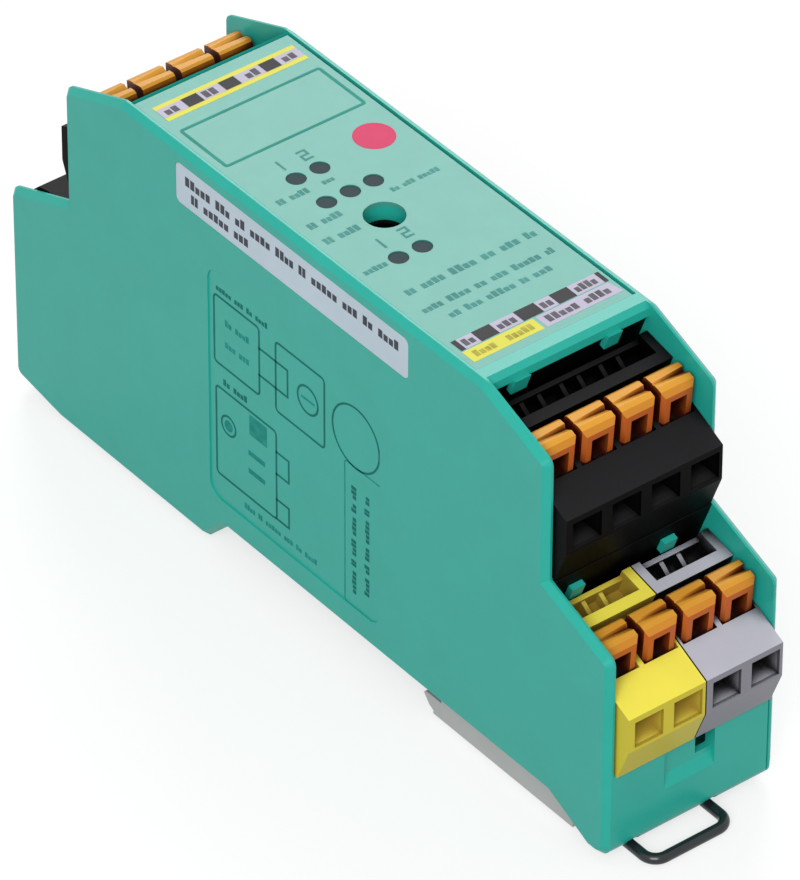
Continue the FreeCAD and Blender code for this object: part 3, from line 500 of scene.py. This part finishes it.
def coil(name, low, high):
    """Helix of round wire along Y that fills the box."""
    mesh = bmesh.new()
    middle = (low + high) / 2
    radius = (high.x - low.x) / 2 - WIRE
    rise = (high.y - low.y - 2 * WIRE) / SPRING_STEPS
    before = None
    for i in range(SPRING_STEPS + 1):
        turn = 2 * math.pi * TURNS * i / SPRING_STEPS
        out = Vector((math.cos(turn), 0, math.sin(turn)))
        centre = Vector((middle.x, low.y + WIRE + i * rise, middle.z)) + out * radius
        loop = []
        for k in range(SPRING_SIDES):
            angle = 2 * math.pi * k / SPRING_SIDES
            across = out * math.cos(angle) + Vector((0, 1, 0)) * math.sin(angle)
            loop.append(mesh.verts.new(centre + across * WIRE))
        if before:
            for k in range(SPRING_SIDES):
                j = (k + 1) % SPRING_SIDES
                mesh.faces.new((before[k], before[j], loop[j], loop[k])).smooth = True
        else:
            mesh.faces.new(loop)
        before = loop
    mesh.faces.new(before)
    return finished(mesh, name, SPRING)


spring_low, spring_high = (Vector(c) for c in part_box("catch_spring"))
spring_coil = coil("catch_spring_coil", spring_low, spring_high)
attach(spring_coil, "housing")
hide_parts("catch_spring")
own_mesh(spring_coil)

# ---- Floor, light and camera --------------------------------------------
FLOOR_SIZE = 6
FLOOR_GAP = 0.1 * MM
SKY = 0.5                 # light of the world on the object
CENTRE = (0, 0, 0.02)     # what the key lamp looks at
FACE = (0, 0, 0.045)      # what the sheen lamp looks at


def seen_directly(tree):
    """1 for rays from the camera, in gloss or through glass."""
    path = node(tree, "ShaderNodeLightPath")
    total = path.outputs["Is Camera Ray"]
    for other in ("Is Glossy Ray", "Is Transmission Ray"):
        most = node(tree, "ShaderNodeMath", operation="MAXIMUM")
        tree.links.new(total, most.inputs[0])
        tree.links.new(path.outputs[other], most.inputs[1])
        total = most.outputs["Value"]
    return total


floor_mat = bpy.data.materials.new("floor")
floor_mat.use_nodes = True
tree = floor_mat.node_tree
tree.nodes.remove(tree.nodes["Principled BSDF"])
lit = node(tree, "ShaderNodeBsdfDiffuse", Color=(0.32, 0.32, 0.32, 1))
soft = node(tree, "ShaderNodeBsdfDiffuse", Color=(0.35, 0.35, 0.35, 1))
glow = node(tree, "ShaderNodeEmission", Color=(1, 1, 1, 1), Strength=0.66)
both = node(tree, "ShaderNodeAddShader")
tree.links.new(soft.outputs["BSDF"], both.inputs[0])
tree.links.new(glow.outputs["Emission"], both.inputs[1])
choose = node(tree, "ShaderNodeMixShader")
tree.links.new(seen_directly(tree), choose.inputs["Fac"])
tree.links.new(lit.outputs["BSDF"], choose.inputs[1])
tree.links.new(both.outputs["Shader"], choose.inputs[2])
tree.links.new(choose.outputs["Shader"], tree.nodes["Material Output"].inputs["Surface"])
lowest = BEFORE[0][2]
bpy.ops.mesh.primitive_plane_add(size=FLOOR_SIZE, location=(0, 0, lowest - FLOOR_GAP))
floor = bpy.context.object
floor.data.materials.append(floor_mat)

world = bpy.data.worlds.new("soft")
bpy.context.scene.world = world
world.use_nodes = True
tree = world.node_tree
sky = tree.nodes["Background"]
sky.inputs["Color"].default_value = (1, 1, 1, 1)
sky.inputs["Strength"].default_value = SKY
white = node(tree, "ShaderNodeBackground", Color=(1, 1, 1, 1), Strength=1.0)
choose = node(tree, "ShaderNodeMixShader")
tree.links.new(seen_directly(tree), choose.inputs["Fac"])
tree.links.new(sky.outputs["Background"], choose.inputs[1])
tree.links.new(white.outputs["Background"], choose.inputs[2])
tree.links.new(choose.outputs["Shader"], tree.nodes["World Output"].inputs["Surface"])


def area(name, place, target, size, power):
    """Soft lamp at place that looks at target."""
    lamp = bpy.data.lights.new(name, "AREA")
    lamp.energy = power
    lamp.size = size
    obj = bpy.data.objects.new(name, lamp)
    bpy.context.scene.collection.objects.link(obj)
    obj.location = place
    aim = Vector(target) - Vector(place)
    obj.rotation_euler = aim.to_track_quat("-Z", "Y").to_euler()
    return obj


area("key", (-0.75, -0.75, 0.77), CENTRE, 0.7, 12.5)
area("sheen", (0.64, 0.82, 0.82), FACE, 0.65, 8)

cam = bpy.data.cameras.new("camera")
cam_obj = bpy.data.objects.new("camera", cam)
bpy.context.scene.collection.objects.link(cam_obj)
bpy.context.scene.camera = cam_obj
cam.sensor_width = 36
cam.lens = 356.18
cam.clip_start = 0.01
cam.clip_end = 20
az = math.radians(-38.2584)
el = math.radians(38.2449)
roll = math.radians(0.1761)
back = Vector((math.sin(az) * math.cos(el), -math.cos(az) * math.cos(el), math.sin(el)))
right = Vector((math.cos(az), math.sin(az), 0))
up = back.cross(right)
right_r = right * math.cos(roll) + up * math.sin(roll)
up_r = up * math.cos(roll) - right * math.sin(roll)
turn = Matrix((right_r, up_r, back)).transposed().to_4x4()
cam_obj.matrix_world = Matrix.Translation((-0.44053, -0.55671, 0.57698)) @ turn
